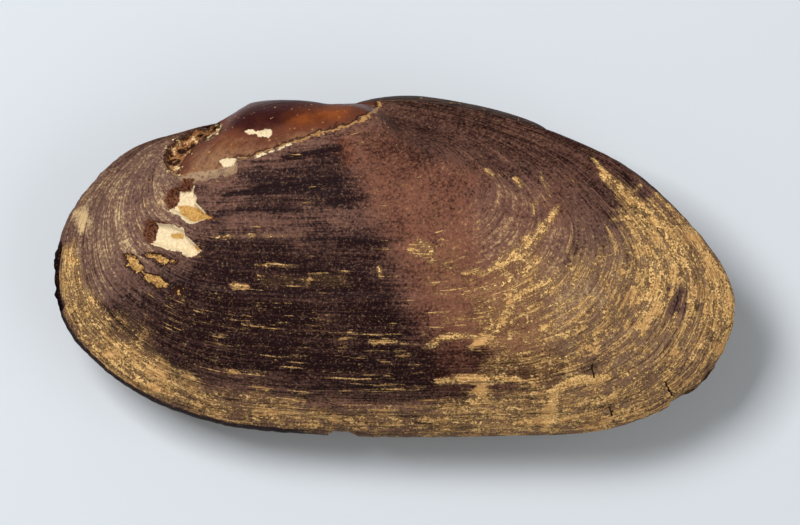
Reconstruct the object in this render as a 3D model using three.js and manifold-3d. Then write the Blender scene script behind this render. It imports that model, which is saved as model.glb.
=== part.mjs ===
// Freshwater pearl mussel: a closed shell of two valves and the ligament that hinges them.
// It lies on its right valve with its left valve up. Millimetres, +Z up.
// +X runs to the posterior end and +Y to the dorsal edge, where the beaks and the ligament are.
import * as THREE from "three";
import { mergeVertices } from "three/addons/utils/BufferGeometryUtils.js";
import Module from "manifold-3d";

const wasm = await Module();
wasm.setup();

// The shell is 120 mm long, 60 mm high and 36 mm wide. A hair of air lies between its pieces.
const PIECE_GAP = 0.3;

// The margin where the two valves meet, from under the beak round the anterior end, along the
// ventral edge, round the pointed posterior end and back along the dorsal edge.
const MARGIN = [
  [-27.7, 25.9], [-37.9, 23.6], [-46.5, 20.6], [-53.5, 14.6], [-58.6, 6.5], [-60.0, -2.7],
  [-58.0, -10.8], [-52.4, -17.4], [-43.5, -23.5], [-31.0, -27.9], [-15.0, -29.7], [0.0, -30.2],
  [18.0, -30.0], [36.0, -29.1], [46.5, -25.7], [54.5, -20.3], [59.0, -12.5], [60.0, -6.0],
  [57.6, 0.3], [50.3, 9.4], [41.0, 17.5], [29.0, 23.3], [23.0, 25.4], [14.0, 27.7], [3.0, 29.3],
  [-6.5, 28.7], [-18.5, 27.1],
].map(([x, y]) => new THREE.Vector3(x, y, 0));

// Growth: each growth line is the margin shrunk towards the beak and turned outwards about the
// hinge line, so a valve is a coil that opens very fast.
const BEAK = new THREE.Vector2(-27.7, 24.5);
const HINGE_TILT = THREE.MathUtils.degToRad(6.9);
const HINGE_SOFTNESS = 6;
const COIL_RATE = 1.04;
const COIL_LIMIT = THREE.MathUtils.degToRad(110);
const FLAT_SIDE = 18.2;
const FLATNESS = 5;
const CROWN_Y = 3;
const CROWN_REACH = 27.5;

// The beak leans out over the hinge: the early growth lines are shifted back, and up between
// the two ends of the beak's swelling.
const BEAK_SHIFT = new THREE.Vector2(3, 4.6);
const BEAK_SHIFT_POWER = 1.6;
const SWELLING_FRONT = [-38, -24];
const SWELLING_BACK = [-14, 10];

// The edge of a valve: a rounded lip, thicker along the hinge than along the ventral edge.
const LIP_THICKNESS = 1.1;
const HINGE_THICKNESS = 2.6;
const LIP_ROUNDING = 0.9;
const HINGE_HEIGHT = 14;
const HINGE_FROM_BEAK = [6, 22];

// Growth rests: the growth lines where the valve stopped and started again, as low ledges.
const GROWTH_RESTS = [0.5, 0.63, 0.74, 0.83, 0.9, 0.95];
const LEDGE_HEIGHT = 0.3;
const LEDGE_LENGTH = 0.09;

// The inner face of a valve: the outer one, drawn in and set lower by the lip's thickness and this.
const WALL_THICKNESS = 1.5;
const INNER_DRAWN = 0.985;
const INNER_SHIFT = new THREE.Vector2(2.5, -2);
const INNER_CLOSING = 0.1;
const INNER_BEAK_SCALE = 0.12;

// Wear: the beaks are eaten away to the layers under the skin, and pits go deeper than that. The
// worn face is the outer face shrunk about a point inside the shell.
const WEAR_CENTRE = [-10, 5, 0];
const WORN_SHRINK = 0.945;
const PIT_SHRINK = 0.92;
const WEAR_LOWEST = 3.2;
const TOOL_TOP = 60;

// Plan outlines of the worn places and chips, on each valve seen from outside.
const LEFT_BEAK_WEAR = [
  [-32.1, 24.7], [-35.1, 23.8], [-37.9, 22.1], [-39.7, 19.6], [-40.2, 17.5], [-38.6, 15.9],
  [-36.2, 15.0], [-33.9, 15.9], [-30.5, 17.3], [-27.7, 18.6], [-23.5, 19.9], [-16.8, 22.1],
  [-10.6, 23.8], [-6.7, 25.8], [-4.1, 27.2], [-2.6, 28.2], [-4.0, 40.0], [-32.0, 40.0],
];
const LEFT_FRONT_GROOVE = [
  [-40.1, 17.3], [-40.4, 19.1], [-39.5, 21.0], [-37.8, 22.6], [-35.1, 24.0], [-32.3, 25.1],
  [-31.9, 24.5], [-34.4, 22.9], [-36.2, 21.5], [-37.4, 20.1], [-38.3, 18.4], [-38.7, 16.6],
];
const LEFT_UPPER_PIT = [
  [-39.4, 13.6], [-36.9, 14.1], [-35.6, 13.9], [-34.9, 12.0], [-32.8, 9.4], [-34.4, 7.9],
  [-35.6, 7.4], [-39.5, 9.9], [-40.6, 11.6],
];
const LEFT_LOWER_PIT = [
  [-43.2, 8.1], [-41.8, 7.6], [-37.1, 6.5], [-37.1, 5.1], [-34.2, 2.7], [-36.0, 1.6],
  [-37.2, 2.3], [-41.5, 3.5], [-44.3, 5.1],
];
const LEFT_SMALL_PIT = [[-47.6, 1.9], [-45.2, 1.2], [-44.1, -0.6], [-45.6, -1.2], [-47.3, 0.3]];
const RIGHT_BEAK_WEAR = [
  [-33.0, 24.3], [-36.0, 22.6], [-37.8, 19.8], [-37.2, 16.6], [-34.6, 14.6], [-31.0, 14.9],
  [-26.9, 17.4], [-22.0, 18.2], [-17.3, 21.0], [-12.4, 22.7], [-8.8, 25.0], [-6.5, 27.3],
  [-7.0, 40.0], [-33.0, 40.0],
];
const RIGHT_PIT = [[-37.9, 12.3], [-34.8, 12.9], [-32.2, 10.6], [-33.7, 8.1], [-37.0, 8.8]];
const MARGIN_CHIPS = [
  [[-10.6, -31.5], [-9.9, -29.2], [-9.1, -28.8], [-7.7, -31.5]],
  [[47.6, -26.6], [48.0, -24.9], [49.0, -24.1], [51.9, -26.0]],
];
const LEFT_WEAR = [
  { shrink: WORN_SHRINK, outlines: [LEFT_BEAK_WEAR, LEFT_SMALL_PIT] },
  { shrink: PIT_SHRINK, outlines: [LEFT_FRONT_GROOVE, LEFT_UPPER_PIT, LEFT_LOWER_PIT] },
];
const RIGHT_WEAR = [
  { shrink: WORN_SHRINK, outlines: [RIGHT_BEAK_WEAR] },
  { shrink: PIT_SHRINK, outlines: [RIGHT_PIT] },
];

// The ligament: a dark band along the dorsal edge behind the beaks.
const LIGAMENT_START = -8;
const LIGAMENT_END = 27.6;
const LIGAMENT_HALF_WIDTH = 2.3;
const LIGAMENT_HALF_HEIGHT = 1.5;
const LIGAMENT_PROUD = 0.75;
const LIGAMENT_BLUNTNESS = 5;
const SEAT_CLEARANCE = 0.4;

// How the closed shell comes to rest on its right valve, with its ventral edge the lower one.
const REST_PITCH = THREE.MathUtils.degToRad(7.4);
const REST_ROLL = THREE.MathUtils.degToRad(-1.8);
const REST_HEIGHT = 17.5;
const REST_PLACE = [0.08, 0.14];

// Rows of faces run along growth lines, at these growth scales and with a pair at each rest.
// Columns run from the beak to the margin.
const COLUMNS = 56;
const OUTER_ROWS = [0.1, 0.17, 0.24, 0.31, 0.4, 0.565, 0.685, 0.785, 0.865, 0.98, 0.994, 1]
  .concat(GROWTH_RESTS.flatMap((rest) => [rest - 0.004, rest + 0.012]))
  .sort((a, b) => a - b);
const INNER_ROWS = [0.96, 0.88, 0.72, 0.52, 0.32];
const marginCurve = new THREE.CatmullRomCurve3(MARGIN, true, "centripetal");
const marginPoints = marginCurve.getSpacedPoints(COLUMNS).slice(0, COLUMNS);

// A valve is flatter on its side than a plain coil, and rounds off towards the hinge.
function flattened(z, y) {
  const rise = Math.max(0, y - CROWN_Y) / CROWN_REACH;
  const limit = FLAT_SIDE * Math.sqrt(Math.max(0, 1 - rise * rise)) + LIP_THICKNESS;
  return z / Math.pow(1 + Math.pow(z / limit, FLATNESS), 1 / FLATNESS);
}

// How far a growth line is shifted from the plain coil.
function beakShift(scale) {
  return BEAK_SHIFT.clone().multiplyScalar(Math.pow(1 - scale, BEAK_SHIFT_POWER));
}

// How much of a point belongs to the hinge side, by its distance below the hinge line.
function hingeShare(below) {
  return 1 - THREE.MathUtils.smoothstep(below, 0, HINGE_HEIGHT);
}

// The outer face of a left valve at a margin point and a growth scale.
function outerPoint(margin, scale) {
  const dx = margin.x - BEAK.x;
  const dy = margin.y - BEAK.y;
  const along = dx * Math.cos(HINGE_TILT) + dy * Math.sin(HINGE_TILT);
  const below = dx * Math.sin(HINGE_TILT) - dy * Math.cos(HINGE_TILT);
  const arm = 0.5 * (below + Math.hypot(below, HINGE_SOFTNESS));
  const turn = COIL_LIMIT * Math.tanh((COIL_RATE * Math.log(1 / scale)) / COIL_LIMIT);
  const a = scale * along;
  const b = scale * (below - arm * (1 - Math.cos(turn)));
  const shift = beakShift(scale);
  const inset = Math.min(1, ((1 - scale) * Math.hypot(dx, dy)) / LIP_ROUNDING);
  const hinge = hingeShare(below) * THREE.MathUtils.smoothstep(along, ...HINGE_FROM_BEAK);
  const lip = THREE.MathUtils.lerp(LIP_THICKNESS, HINGE_THICKNESS, hinge);
  const x = BEAK.x + a * Math.cos(HINGE_TILT) + b * Math.sin(HINGE_TILT) + shift.x;
  const front = THREE.MathUtils.smoothstep(x, ...SWELLING_FRONT);
  const swelling = front - THREE.MathUtils.smoothstep(x, ...SWELLING_BACK);
  const y = BEAK.y + a * Math.sin(HINGE_TILT) - b * Math.cos(HINGE_TILT) + swelling * shift.y;
  const z = flattened(scale * arm * Math.sin(turn), y) + lip * Math.sqrt(1 - (1 - inset) ** 2);
  return new THREE.Vector3(x, y, z);
}

// The outer face with the growth ledges raised on it, along the face's own normal.
function ledgedPoint(column, scale) {
  const here = outerPoint(marginPoints[column], scale);
  const rest = GROWTH_RESTS.findLast((start) => start < scale);
  if (rest === undefined) return here;
  const fade = 1 - THREE.MathUtils.smoothstep(scale, rest, rest + LEDGE_LENGTH);
  const height = LEDGE_HEIGHT * fade * THREE.MathUtils.smoothstep(BEAK.y - here.y, 0, 8);
  const around = outerPoint(marginPoints[(column + 1) % COLUMNS], scale)
    .sub(outerPoint(marginPoints[(column + COLUMNS - 1) % COLUMNS], scale));
  const inwards = outerPoint(marginPoints[column], scale * 0.97).sub(here);
  const rim = THREE.MathUtils.smoothstep(1 - scale, 0, 0.03);
  return here.addScaledVector(around.cross(inwards).normalize(), rim * height);
}

// The inner face: the same coil, drawn in towards the beak and set below the outer face.
function innerPoint(column, scale) {
  const margin = marginPoints[column];
  const outer = outerPoint(margin, scale);
  const hinge = hingeShare(BEAK.y - outer.y);
  const wall = THREE.MathUtils.lerp(LIP_THICKNESS, HINGE_THICKNESS, hinge) + WALL_THICKNESS;
  const closing = THREE.MathUtils.smoothstep(1 - scale, 0, INNER_CLOSING);
  return new THREE.Vector3(
    BEAK.x + (margin.x - BEAK.x) * scale * INNER_DRAWN + INNER_SHIFT.x * (1 - scale),
    BEAK.y + (outer.y - beakShift(scale).y - BEAK.y) * INNER_DRAWN + INNER_SHIFT.y * (1 - scale),
    closing * Math.max(0, outer.z - wall),
  );
}

// A closed body from rings of points, one per row. It starts as a sphere's grid, and the middles
// of the first and last rings become its poles.
function ringBody(rings) {
  const bands = rings.length + 1;
  const geometry = new THREE.SphereGeometry(1, COLUMNS, bands);
  for (let band = 0; band <= bands; band++) {
    const ring = rings[THREE.MathUtils.clamp(band - 1, 0, rings.length - 1)];
    const pole = band === 0 || band === bands ? middleOf(ring) : null;
    for (let column = 0; column <= COLUMNS; column++) {
      const point = pole ?? ring[column % COLUMNS];
      geometry.attributes.position.setXYZ(band * (COLUMNS + 1) + column, point.x, point.y, point.z);
    }
  }
  return toSolid(geometry);
}

function middleOf(ring) {
  const sum = new THREE.Vector3();
  for (const point of ring) sum.add(point);
  return sum.divideScalar(ring.length);
}

const ringOf = (place, scale) => marginPoints.map((_, column) => place(column, scale));
const outerRings = OUTER_ROWS.map((scale) => ringOf(ledgedPoint, scale));
const innerRings = [...INNER_ROWS, INNER_BEAK_SCALE].map((scale) => ringOf(innerPoint, scale));

function toSolid(geometry) {
  const bare = new THREE.BufferGeometry();
  bare.setAttribute("position", geometry.attributes.position);
  bare.setIndex(geometry.index);
  const merged = mergeVertices(bare, 1e-4);
  const vertProperties = new Float32Array(merged.attributes.position.array);
  const triVerts = new Uint32Array(merged.index.array);
  return new wasm.Manifold(new wasm.Mesh({ numProp: 3, vertProperties, triVerts }));
}

function toGeometry(solid) {
  const mesh = solid.getMesh();
  const geometry = new THREE.BufferGeometry();
  geometry.setAttribute("position", new THREE.BufferAttribute(mesh.vertProperties, 3));
  geometry.setIndex(new THREE.BufferAttribute(mesh.triVerts, 1));
  geometry.computeVertexNormals();
  return geometry;
}

// An upright prism over a plan outline, in the valve's own frame.
function prism(outline, bottom) {
  const shape = new THREE.Shape(outline.map(([x, y]) => new THREE.Vector2(x, y)));
  const geometry = new THREE.ExtrudeGeometry(shape, { depth: TOOL_TOP - bottom, bevelEnabled: false });
  geometry.translate(0, 0, bottom);
  return toSolid(geometry);
}

// A valve with its wear and the chips in its margin cut out. A wear tool is the prism over its outline less
// the worn face's body, so the floor that it leaves is curved like the valve.
function cutValve(wear) {
  const filled = ringBody(outerRings);
  let valve = ringBody([...outerRings, ...innerRings]);
  for (const { shrink, outlines } of wear) {
    const worn = filled
      .translate(WEAR_CENTRE.map((c) => -c))
      .scale(shrink)
      .translate(WEAR_CENTRE);
    for (const outline of outlines) valve = valve.subtract(prism(outline, WEAR_LOWEST).subtract(worn));
  }
  for (const outline of MARGIN_CHIPS) valve = valve.subtract(prism(outline, -1));
  return valve;
}

// The ligament, a band with blunt ends, laid along the dorsal edge. It starts as a sphere's grid
// whose poles are its two ends; grown by a clearance it is also the tool for its seat.
function ligamentSolid(clearance) {
  const bands = 20;
  const sides = 12;
  const geometry = new THREE.SphereGeometry(1, sides, bands);
  const position = geometry.attributes.position;
  for (let i = 0; i < position.count; i++) {
    const share = Math.acos(THREE.MathUtils.clamp(position.getY(i), -1, 1)) / Math.PI;
    const girth = Math.sqrt(Math.max(0, 1 - Math.abs(2 * share - 1) ** LIGAMENT_BLUNTNESS));
    const around = Math.atan2(position.getZ(i), position.getX(i));
    const length = LIGAMENT_END - LIGAMENT_START + 2 * clearance;
    const x = LIGAMENT_START - clearance + length * share;
    const up = girth * (LIGAMENT_HALF_HEIGHT + clearance) * Math.cos(around);
    const out = girth * (LIGAMENT_HALF_WIDTH + clearance) * Math.sin(around);
    const { y, slope } = dorsalEdge(x);
    const lift = LIGAMENT_PROUD - LIGAMENT_HALF_HEIGHT + up;
    position.setXYZ(i, x - lift * Math.sin(slope), y + lift * Math.cos(slope), out);
  }
  return toSolid(geometry);
}

// Height and slope of the dorsal edge at a distance along the shell.
function dorsalEdge(x) {
  const dorsal = marginPoints.filter((p) => p.y > 18 && p.x > -36).sort((a, b) => a.x - b.x);
  const next = dorsal.findIndex((p) => p.x > x);
  const [a, b] = [dorsal[next - 1], dorsal[next]];
  const slope = Math.atan2(b.y - a.y, b.x - a.x);
  return { y: THREE.MathUtils.mapLinear(x, a.x, b.x, a.y, b.y), slope };
}

// The shell as it lies: the valves meet at a margin plane that is tilted a little, and the side
// it lies on is rubbed flat where it touches.
const lying = new THREE.Group();
lying.name = "freshwater_pearl_mussel";
lying.rotation.set(REST_PITCH, REST_ROLL, 0);
lying.position.set(...REST_PLACE, REST_HEIGHT);
lying.updateMatrix();

function floorBlock() {
  const block = new THREE.BoxGeometry(80, 80, 20).translate(0, 0, -10);
  return toSolid(block.applyMatrix4(lying.matrix.clone().invert()));
}

const seat = ligamentSolid(SEAT_CLEARANCE);
const leftHalf = cutValve(LEFT_WEAR).translate([0, 0, PIECE_GAP / 2]).subtract(seat);
const rightHalf = cutValve(RIGHT_WEAR)
  .translate([0, 0, PIECE_GAP / 2])
  .mirror([0, 0, 1])
  .subtract(seat)
  .subtract(floorBlock());

const SKIN = { color: 0x3a2a25, roughness: 0.6, metalness: 0 };
const HORN = { color: 0x2a1a14, roughness: 0.5, metalness: 0 };

function addPiece(name, solid, look) {
  const piece = new THREE.Mesh(toGeometry(solid), new THREE.MeshStandardMaterial(look));
  piece.name = name;
  lying.add(piece);
}

addPiece("left_valve", leftHalf, SKIN);
addPiece("right_valve", rightHalf, SKIN);
addPiece("hinge_ligament", ligamentSolid(0), HORN);

export default lying;
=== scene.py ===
"""A closed freshwater pearl mussel: two valves and their ligament, at rest on the right valve."""
import math

import bmesh
import bpy
import numpy as np
from mathutils import Euler, Matrix, Vector, noise


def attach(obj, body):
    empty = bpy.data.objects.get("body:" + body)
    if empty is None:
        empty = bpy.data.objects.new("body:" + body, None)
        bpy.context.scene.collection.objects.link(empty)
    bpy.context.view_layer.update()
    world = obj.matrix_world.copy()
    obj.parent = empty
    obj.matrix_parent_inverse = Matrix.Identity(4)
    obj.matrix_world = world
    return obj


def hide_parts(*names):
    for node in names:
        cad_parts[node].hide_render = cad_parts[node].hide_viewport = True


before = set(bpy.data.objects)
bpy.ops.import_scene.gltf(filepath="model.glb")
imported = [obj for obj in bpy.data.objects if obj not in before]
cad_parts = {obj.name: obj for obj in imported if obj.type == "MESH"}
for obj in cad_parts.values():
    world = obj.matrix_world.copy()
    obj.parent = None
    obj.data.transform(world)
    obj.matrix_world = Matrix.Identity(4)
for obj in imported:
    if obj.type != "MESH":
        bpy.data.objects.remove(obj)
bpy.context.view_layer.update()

# Left valve. The upper half of the shell: chalk and mother-of-pearl laid down in growth lines
# under a dark horny skin. The beak is eaten away, the front end is pitted, and dried river mud
# lies in the growth lines. It is held to the other valve by the ligament alone.
PIXEL = 0.17647  # millimetres across one pixel of the photograph, on the plane where the valves meet
PLANE_PIXEL = (395, 266)  # where the photograph shows the middle of that plane
REST_PLACE, REST_PITCH, REST_ROLL = (0.08, 0.14, 17.5), math.radians(7.4), math.radians(-1.8)
REST = Matrix.Translation(REST_PLACE) @ Euler((REST_PITCH, 0, 0)).to_matrix().to_4x4() \
    @ Euler((0, REST_ROLL, 0)).to_matrix().to_4x4()
HALF_GAP = 0.15

# Lengths are in millimetres. The valves lie in a plane of their own, the beak towards -X and the hinge at +Y.
MARGIN = [
    (-27.7, 25.9), (-37.9, 23.6), (-46.5, 20.6), (-53.5, 14.6), (-58.6, 6.5), (-60.0, -2.7), (-58.0, -10.8),
    (-52.4, -17.4), (-43.5, -23.5), (-31.0, -27.9), (-15.0, -29.7), (0.0, -30.2), (18.0, -30.0),
    (36.0, -29.1), (46.5, -25.7), (54.5, -20.3), (59.0, -12.5), (60.0, -6.0), (57.6, 0.3), (50.3, 9.4),
    (41.0, 17.5), (29.0, 23.3), (23.0, 25.4), (14.0, 27.7), (3.0, 29.3), (-6.5, 28.7), (-18.5, 27.1),
]
BEAK = (-27.7, 24.5)
HINGE_TILT = math.radians(6.9)
COIL_RATE, COIL_LIMIT = 1.04, math.radians(110)
BEAK_SWELLING, BEAK_DRIFT, BEAK_GROWTH = 4.3, 3, 1.6
SIDE_LIMIT, CROWN_HEIGHT, CROWN_REACH = 18.2, 3, 27.5
LIP_THICKNESS, LIP_ROUNDING, HINGE_EXTRA = 1.1, 0.9, 1.5
WALL_THICKNESS, INNER_DRAWN = 2.6, 0.985
LIGAMENT_FROM, LIGAMENT_TO, LIGAMENT_DEPTH, LIGAMENT_BLUNTNESS = -8.0, 27.6, 0.75, 5
LIGAMENT_HALF_HEIGHT, LIGAMENT_HALF_WIDTH = 1.5, 2.3
SEAT_HALF_HEIGHT, SEAT_HALF_WIDTH = 1.65, 2.42
GROWTH_RESTS = (0.5, 0.63, 0.74, 0.83, 0.9, 0.95)
LEDGE_HEIGHT, LEDGE_LENGTH = 0.3, 0.09
BROAD_RIDGES, FINE_RIDGES, SLOW_LUMPS, SMALL_LUMPS = 0.09, 0.06, 0.14, 0.05
BEAK_WEAR, GROOVE_DEPTH, PIT_DEPTH, SCUFF_DEPTH, CRACK_DEPTH = 1.0, 1.35, 1.7, 0.6, 0.4
FULLNESS, MUD_HEIGHT, FRAYING = 1.8, 0.1, 0.12

COLUMNS = 470
OUTER_SCALES = np.concatenate([[0.0, 0.035, 0.07], np.linspace(0.1, 0.975, 166),
                               [0.979, 0.983, 0.987, 0.99, 0.993, 0.9955, 0.9975, 0.999, 1.0]])
INNER_SCALES = np.array([0.96, 0.88, 0.72, 0.52, 0.32, 0.12, 0.0])


def plan(*spots):
    """Spots of the photograph, in its pixels, as millimetres on the plane where the valves meet."""
    return [((x - PLANE_PIXEL[0]) * PIXEL, (PLANE_PIXEL[1] - y) * PIXEL) for x, y in spots]


def smooth(value, low, high):
    """0 below low, 1 above high and an even slope between them."""
    t = np.clip((value - low) / (high - low), 0, 1)
    return t * t * (3 - 2 * t)


def margin_line():
    """The margin as a dense closed line: a centripetal Catmull-Rom curve through its spots."""
    start = np.array(MARGIN)
    before, end, after = np.roll(start, 1, 0), np.roll(start, -1, 0), np.roll(start, -2, 0)
    d0, d1, d2 = (np.sqrt(np.linalg.norm(b - a, axis=1))[:, None]
                  for a, b in ((before, start), (start, end), (end, after)))
    leave = ((start - before) / d0 - (end - before) / (d0 + d1) + (end - start) / d1) * d1
    arrive = ((end - start) / d1 - (after - start) / (d1 + d2) + (after - end) / d2) * d1
    t = np.linspace(0, 1, 48, endpoint=False)[:, None, None]
    line = (start * (2 * t**3 - 3 * t**2 + 1) + leave * (t**3 - 2 * t**2 + t)
            + end * (3 * t**2 - 2 * t**3) + arrive * (t**3 - t**2))
    line = line.transpose(1, 0, 2).reshape(-1, 2)
    return np.vstack([line, line[:1]])


def margin_at(turns):
    """Margin spots at shares of its length from under the beak, round the front end."""
    line = margin_line()
    length = np.concatenate([[0], np.cumsum(np.linalg.norm(np.diff(line, axis=0), axis=1))])
    length /= length[-1]
    return np.stack([np.interp(turns, length, line[:, axis]) for axis in (0, 1)], -1)


def hinge_share(below):
    """How much of a point belongs to the hinge side, by its distance below the hinge line."""
    return 1 - smooth(below, 0, 14)


def outer_face(margin, scale):
    """The plain coiled outer face at margin spots and growth scales."""
    dx, dy = margin[:, 0] - BEAK[0], margin[:, 1] - BEAK[1]
    reach = np.hypot(dx, dy)
    along = dx * math.cos(HINGE_TILT) + dy * math.sin(HINGE_TILT)
    below = dx * math.sin(HINGE_TILT) - dy * math.cos(HINGE_TILT)
    arm = 0.5 * (below + np.hypot(below, 6))
    turn = COIL_LIMIT * np.tanh(COIL_RATE * np.log(1 / np.maximum(scale, 1e-6)) / COIL_LIMIT)
    a, b = scale * along, scale * (below - arm * (1 - np.cos(turn)))
    shift = (1 - scale) ** BEAK_GROWTH
    inset = np.minimum(1, (1 - scale) * reach / LIP_ROUNDING)
    lip = LIP_THICKNESS + HINGE_EXTRA * hinge_share(below) * smooth(along, 6, 22)
    x = BEAK[0] + a * math.cos(HINGE_TILT) + b * math.sin(HINGE_TILT) + BEAK_DRIFT * shift
    swelling = smooth(x, -38, -24) - smooth(x, -14, 10)
    y = BEAK[1] + a * math.sin(HINGE_TILT) - b * math.cos(HINGE_TILT) + BEAK_SWELLING * shift * swelling
    rise = np.maximum(0, y - CROWN_HEIGHT) / CROWN_REACH
    limit = SIDE_LIMIT * np.sqrt(np.maximum(0, 1 - rise**2)) + LIP_THICKNESS
    z = scale * arm * np.sin(turn)
    z = z / (1 + (z / limit) ** 5) ** 0.2 + lip * np.sqrt(1 - (1 - inset) ** 2)
    return np.stack([x, y, z], -1)


def inner_face(margin, scale):
    """The inner face: the same coil drawn in towards the beak and set below the outer face."""
    outer = outer_face(margin, scale)
    wall = WALL_THICKNESS + HINGE_EXTRA * hinge_share(BEAK[1] - outer[..., 1])
    x = BEAK[0] + (margin[:, 0] - BEAK[0]) * scale * INNER_DRAWN + 2.5 * (1 - scale)
    lifted = BEAK_SWELLING * (1 - scale) ** BEAK_GROWTH
    y = BEAK[1] + (outer[..., 1] - lifted - BEAK[1]) * INNER_DRAWN - 2 * (1 - scale)
    z = smooth(1 - scale, 0, 0.1) * np.maximum(0, outer[..., 2] - wall)
    return np.stack([x, y, z], -1)


def outward(face):
    """The outward normals of a face whose rows are growth lines; its columns close on themselves."""
    around = np.roll(face, -1, 1) - np.roll(face, 1, 1)
    normal = np.cross(np.gradient(face, axis=0), around)
    normal[0] = normal[2].mean(0)
    return normal / np.maximum(np.linalg.norm(normal, axis=-1, keepdims=True), 1e-9)


def uneven(points, size, seed=0):
    """Smooth unevenness from -1 to 1, with lumps of about that size."""
    spots = (points.reshape(-1, 3) / size + 17.3 * seed).tolist()
    return np.array([noise.noise(spot) for spot in spots]).reshape(points.shape[:-1])


def depth_in(outline, x, y):
    """Distance in millimetres from a closed outline, positive inside it."""
    nearest, inside = np.full(x.shape, 1e9), np.zeros(x.shape, bool)
    for (ax, ay), (bx, by) in zip(outline, outline[1:] + outline[:1]):
        ex, ey = bx - ax, by - ay
        t = np.clip(((x - ax) * ex + (y - ay) * ey) / (ex * ex + ey * ey), 0, 1)
        nearest = np.minimum(nearest, np.hypot(x - ax - t * ex, y - ay - t * ey))
        inside ^= ((ay > y) != (by > y)) & (x < ax + ex * (y - ay) / (ey if ey else 1e-9))
    return np.where(inside, nearest, -nearest)


def off_line(line, x, y):
    """Distance in millimetres from an open line, and how far along it, from 0 to 1."""
    nearest, share = np.full(x.shape, 1e9), np.zeros(x.shape)
    lengths = [math.dist(a, b) for a, b in zip(line, line[1:])]
    before = 0.0
    for (ax, ay), (bx, by), length in zip(line, line[1:], lengths):
        ex, ey = bx - ax, by - ay
        t = np.clip(((x - ax) * ex + (y - ay) * ey) / (ex * ex + ey * ey), 0, 1)
        off = np.hypot(x - ax - t * ex, y - ay - t * ey)
        share = np.where(off < nearest, (before + t * length) / sum(lengths), share)
        nearest = np.minimum(nearest, off)
        before += length
    return nearest, share


def deepest(outlines, x, y):
    """Depth inside the nearest of several outlines."""
    depths = [depth_in(outline, x, y) for outline in outlines]
    return np.max(depths, axis=0) if depths else np.full(x.shape, -9.0)


def tinted(value, patches, x, y):
    """A value painted over with soft patches: (outline, softness, value) and a share, or else the whole."""
    for outline, soft, target, *share in patches:
        cover = math.prod(share) * smooth(depth_in(plan(*outline), x, y), -soft, soft)
        value = value + (target - value) * cover
    return value


def streaked(value, streaks, x, y):
    """A value raised along lines that thin out towards their ends: (line, half width, value)."""
    ragged = 0.2 * uneven(np.stack([x, y, 0 * x], -1), 1.3, 21)
    for line, half, target in streaks:
        off, share = off_line(plan(*line), x, y)
        width = half * (0.35 + 0.65 * np.sin(math.pi * share) ** 0.7)
        value = np.maximum(value, (target + ragged) * (1 - smooth(off, 0, width * 1.5 + 0.5)))
    return value


# The columns stand closer round the pitted front end, which the photograph shows in most detail.
crowding = np.interp(np.linspace(0, 1, 400), [0, 0.02, 0.2, 0.28, 0.9, 1], [1.9, 1.9, 1.7, 1.0, 0.9, 1.9])
TURNS = np.interp(np.linspace(0, 1, COLUMNS, endpoint=False),
                  np.concatenate([[0], np.cumsum(crowding[1:])]) / crowding[1:].sum(), np.linspace(0, 1, 400))
SPOTS = margin_at(TURNS)


def dorsal_edge(x):
    """Height and slope of the dorsal edge behind the beaks."""
    line = margin_line()
    line = line[(line[:, 1] > 18) & (line[:, 0] > -26)]
    line = line[np.argsort(line[:, 0])]
    y = np.interp(x, line[:, 0], line[:, 1])
    return y, (np.interp(x + 1, line[:, 0], line[:, 1]) - np.interp(x - 1, line[:, 0], line[:, 1])) / 2


def ligament_girth(x):
    """Thickness share of the ligament along the shell, with blunt ends."""
    share = np.clip((x - LIGAMENT_FROM) / (LIGAMENT_TO - LIGAMENT_FROM), 0, 1)
    return np.sqrt(np.maximum(0, 1 - np.abs(2 * share - 1) ** LIGAMENT_BLUNTNESS))


def finished(shape, name):
    """The mesh of a shape, with its seams merged and its faces smooth and outward."""
    bmesh.ops.remove_doubles(shape, verts=shape.verts, dist=1e-7)
    bmesh.ops.recalc_face_normals(shape, faces=shape.faces)
    for part in shape.faces:
        part.smooth = True
    mesh = bpy.data.meshes.new(name)
    shape.to_mesh(mesh)
    shape.free()
    return mesh


def piece(name, mesh):
    """A piece that stands at the origin, with its place in its mesh."""
    made = bpy.data.objects.new(name, mesh)
    bpy.context.scene.collection.objects.link(made)
    return made


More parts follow.
